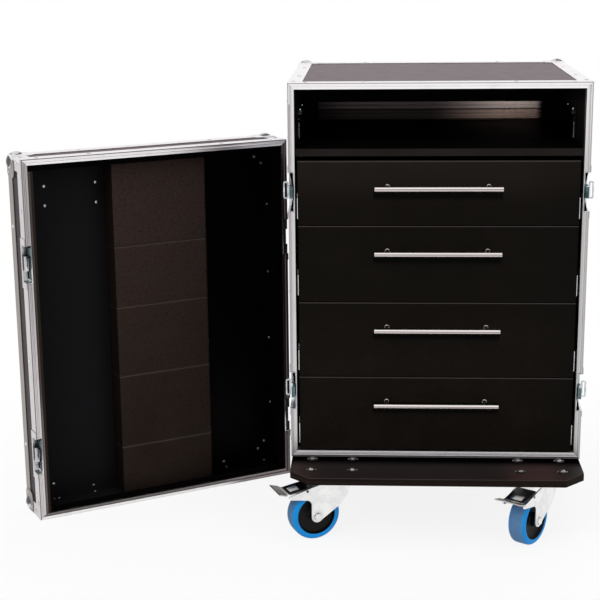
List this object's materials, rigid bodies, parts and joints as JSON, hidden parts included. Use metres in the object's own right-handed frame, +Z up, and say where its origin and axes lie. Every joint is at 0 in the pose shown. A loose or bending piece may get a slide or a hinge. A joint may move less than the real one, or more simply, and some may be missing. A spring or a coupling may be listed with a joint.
{
  "type": "road case with drawers",
  "caption": "Wheeled road case with four pull-out drawers, an open top compartment, butterfly latches, recessed side handles and a lift-off front lid with a foam pad.",
  "frame": {"origin": "on the floor, under the middle of the case and its lid together", "axes": "+X to the right seen from the drawers, -Y out of the drawers, +Z up"},
  "size_m": [1.142, 0.6488, 0.8893],
  "materials": {
    "laminate_ply": "dark laminated plywood, satin with a fine emboss",
    "aluminium_profile": "bright extruded aluminium with fine lines along its length",
    "black_ply": "black laminated plywood, matt with a faint texture",
    "film_ply": "dark film-faced plywood with a satin sheen",
    "zinc_steel": "bright zinc plated pressed steel",
    "steel_bar": "brushed steel bar",
    "tyre_blue": "blue elastic rubber tyre bonded to a black centre",
    "handle_black": "black moulded plastic",
    "foam_grey": "coarse open-cell foam, dark brown grey"
  },
  "bodies": {
    "case": {"case_left_panel": "laminate_ply", "case_right_panel": "laminate_ply", "case_top_panel": "laminate_ply", "case_bottom_panel": "laminate_ply", "case_rear_panel": "laminate_ply", "case_front_rim": "aluminium_profile", "case_edge_frame": "aluminium_profile", "latch_dish_upper_left": "zinc_steel", "latch_dish_lower_left": "zinc_steel", "handle_dish_left": "zinc_steel", "runner_liner_left": "black_ply", "latch_dish_upper_right": "zinc_steel", "latch_dish_lower_right": "zinc_steel", "handle_dish_right": "zinc_steel", "runner_liner_right": "black_ply", "top_shelf": "black_ply", "rear_rail": "aluminium_profile", "base_board": "film_ply", "castor_plate_front_left": "zinc_steel", "castor_plate_front_right": "zinc_steel", "castor_plate_rear_left": "zinc_steel", "castor_plate_rear_right": "zinc_steel"},
    "lid": {"lid_walls": "laminate_ply", "lid_face_panel": "laminate_ply", "lid_rim": "aluminium_profile", "lid_edge_frame": "aluminium_profile", "lid_foam": "foam_grey"},
    "hook_upper_left": {"latch_hook_upper_left": "zinc_steel"},
    "cam_upper_left": {"latch_cam_upper_left": "zinc_steel"},
    "wing_upper_left": {"latch_wing_upper_left": "zinc_steel"},
    "hook_lower_left": {"latch_hook_lower_left": "zinc_steel"},
    "cam_lower_left": {"latch_cam_lower_left": "zinc_steel"},
    "wing_lower_left": {"latch_wing_lower_left": "zinc_steel"},
    "bail_left": {"handle_bail_left": "handle_black"},
    "hook_upper_right": {"latch_hook_upper_right": "zinc_steel"},
    "cam_upper_right": {"latch_cam_upper_right": "zinc_steel"},
    "wing_upper_right": {"latch_wing_upper_right": "zinc_steel"},
    "hook_lower_right": {"latch_hook_lower_right": "zinc_steel"},
    "cam_lower_right": {"latch_cam_lower_right": "zinc_steel"},
    "wing_lower_right": {"latch_wing_lower_right": "zinc_steel"},
    "bail_right": {"handle_bail_right": "handle_black"},
    "drawer_1": {"drawer_1_box": "black_ply", "drawer_1_bar_handle": "steel_bar"},
    "drawer_2": {"drawer_2_box": "black_ply", "drawer_2_bar_handle": "steel_bar"},
    "drawer_3": {"drawer_3_box": "black_ply", "drawer_3_bar_handle": "steel_bar"},
    "drawer_4": {"drawer_4_box": "black_ply", "drawer_4_bar_handle": "steel_bar"},
    "castor_front_left": {"castor_fork_front_left": "zinc_steel"},
    "wheel_front_left": {"castor_wheel_front_left": "tyre_blue"},
    "pedal_front_left": {"brake_pedal_front_left": "zinc_steel"},
    "castor_front_right": {"castor_fork_front_right": "zinc_steel"},
    "wheel_front_right": {"castor_wheel_front_right": "tyre_blue"},
    "pedal_front_right": {"brake_pedal_front_right": "zinc_steel"},
    "castor_rear_left": {"castor_fork_rear_left": "zinc_steel"},
    "wheel_rear_left": {"castor_wheel_rear_left": "tyre_blue"},
    "castor_rear_right": {"castor_fork_rear_right": "zinc_steel"},
    "wheel_rear_right": {"castor_wheel_rear_right": "tyre_blue"}
  },
  "joints": [
    {"name": "drawer_1_slide", "type": "slide", "parent": "case", "child": "drawer_1", "axis": [0, -1, 0], "range_m": [0, 0.35]},
    {"name": "drawer_2_slide", "type": "slide", "parent": "case", "child": "drawer_2", "axis": [0, -1, 0], "range_m": [0, 0.35]},
    {"name": "drawer_3_slide", "type": "slide", "parent": "case", "child": "drawer_3", "axis": [0, -1, 0], "range_m": [0, 0.35]},
    {"name": "drawer_4_slide", "type": "slide", "parent": "case", "child": "drawer_4", "axis": [0, -1, 0], "range_m": [0, 0.35]},
    {"name": "castor_front_left_swivel", "type": "hinge", "parent": "case", "child": "castor_front_left", "pos_m": [0.07305, -0.20764, 0.11], "axis": [0, 0, 1], "continuous": true},
    {"name": "wheel_front_left_roll", "type": "hinge", "parent": "castor_front_left", "child": "wheel_front_left", "pos_m": [0.03559, -0.22432, 0.05], "axis": [-0.4069, 0.9135, 0], "continuous": true},
    {"name": "pedal_front_left_press", "type": "hinge", "parent": "castor_front_left", "child": "pedal_front_left", "pos_m": [0.01687, -0.23266, 0.105], "axis": [0.4069, -0.9135, 0], "range_deg": [0, 12]},
    {"name": "castor_front_right_swivel", "type": "hinge", "parent": "case", "child": "castor_front_right", "pos_m": [0.47705, -0.20764, 0.11], "axis": [0, 0, 1], "continuous": true},
    {"name": "wheel_front_right_roll", "type": "hinge", "parent": "castor_front_right", "child": "wheel_front_right", "pos_m": [0.45353, -0.24123, 0.05], "axis": [-0.8192, 0.5735, 0], "continuous": true},
    {"name": "pedal_front_right_press", "type": "hinge", "parent": "castor_front_right", "child": "pedal_front_right", "pos_m": [0.44178, -0.25802, 0.105], "axis": [0.8192, -0.5735, 0], "range_deg": [0, 12]},
    {"name": "castor_rear_left_swivel", "type": "hinge", "parent": "case", "child": "castor_rear_left", "pos_m": [0.07305, 0.24636, 0.11], "axis": [0, 0, 1], "continuous": true},
    {"name": "wheel_rear_left_roll", "type": "hinge", "parent": "castor_rear_left", "child": "wheel_rear_left", "pos_m": [0.04164, 0.22001, 0.05], "axis": [-0.6427, 0.7661, 0], "continuous": true},
    {"name": "castor_rear_right_swivel", "type": "hinge", "parent": "case", "child": "castor_rear_right", "pos_m": [0.47705, 0.24636, 0.11], "axis": [0, 0, 1], "continuous": true},
    {"name": "wheel_rear_right_roll", "type": "hinge", "parent": "castor_rear_right", "child": "wheel_rear_right", "pos_m": [0.43694, 0.23785, 0.05], "axis": [-0.2077, 0.9782, 0], "continuous": true},
    {"name": "cam_upper_left_turn", "type": "hinge", "parent": "case", "child": "cam_upper_left", "pos_m": [-0.00395, -0.13664, 0.6763], "axis": [-1, 0, 0], "range_deg": [0, 180]},
    {"name": "wing_upper_left_fold", "type": "hinge", "parent": "cam_upper_left", "child": "wing_upper_left", "pos_m": [-0.00735, -0.13664, 0.6763], "axis": [0, 0, 1], "range_deg": [0, 90]},
    {"name": "hook_upper_left_slide", "type": "slide", "parent": "case", "child": "hook_upper_left", "axis": [0, 1, 0], "range_m": [0, 0.009]},
    {"name": "cam_lower_left_turn", "type": "hinge", "parent": "case", "child": "cam_lower_left", "pos_m": [-0.00395, -0.13664, 0.2803], "axis": [-1, 0, 0], "range_deg": [0, 180]},
    {"name": "wing_lower_left_fold", "type": "hinge", "parent": "cam_lower_left", "child": "wing_lower_left", "pos_m": [-0.00735, -0.13664, 0.2803], "axis": [0, 0, 1], "range_deg": [0, 90]},
    {"name": "hook_lower_left_slide", "type": "slide", "parent": "case", "child": "hook_lower_left", "axis": [0, 1, 0], "range_m": [0, 0.009]},
    {"name": "bail_left_lift", "type": "hinge", "parent": "case", "child": "bail_left", "pos_m": [0.00025, 0.07836, 0.8013], "axis": [0, 1, 0], "range_deg": [0, 90], "stiffness_Nm_per_rad": 0.1},
    {"name": "cam_upper_right_turn", "type": "hinge", "parent": "case", "child": "cam_upper_right", "pos_m": [0.55405, -0.13664, 0.6763], "axis": [1, 0, 0], "range_deg": [0, 180]},
    {"name": "wing_upper_right_fold", "type": "hinge", "parent": "cam_upper_right", "child": "wing_upper_right", "pos_m": [0.55745, -0.13664, 0.6763], "axis": [0, 0, -1], "range_deg": [0, 90]},
    {"name": "hook_upper_right_slide", "type": "slide", "parent": "case", "child": "hook_upper_right", "axis": [0, 1, 0], "range_m": [0, 0.009]},
    {"name": "cam_lower_right_turn", "type": "hinge", "parent": "case", "child": "cam_lower_right", "pos_m": [0.55405, -0.13664, 0.2803], "axis": [1, 0, 0], "range_deg": [0, 180]},
    {"name": "wing_lower_right_fold", "type": "hinge", "parent": "cam_lower_right", "child": "wing_lower_right", "pos_m": [0.55745, -0.13664, 0.2803], "axis": [0, 0, -1], "range_deg": [0, 90]},
    {"name": "hook_lower_right_slide", "type": "slide", "parent": "case", "child": "hook_lower_right", "axis": [0, 1, 0], "range_m": [0, 0.009]},
    {"name": "bail_right_lift", "type": "hinge", "parent": "case", "child": "bail_right", "pos_m": [0.54985, 0.07836, 0.8013], "axis": [0, -1, 0], "range_deg": [0, 90], "stiffness_Nm_per_rad": 0.1},
    {"name": "lid_lift", "type": "slide", "parent": "case", "child": "lid", "axis": [-0.8, 0, 0.6], "range_m": [0, 0.3]}
  ],
  "couplings": [
    {"joint": "cam_upper_left_turn", "follows": "hook_upper_left_slide", "rad_per_m": 349.07},
    {"joint": "cam_lower_left_turn", "follows": "hook_lower_left_slide", "rad_per_m": 349.07},
    {"joint": "cam_upper_right_turn", "follows": "hook_upper_right_slide", "rad_per_m": 349.07},
    {"joint": "cam_lower_right_turn", "follows": "hook_lower_right_slide", "rad_per_m": 349.07}
  ]
}
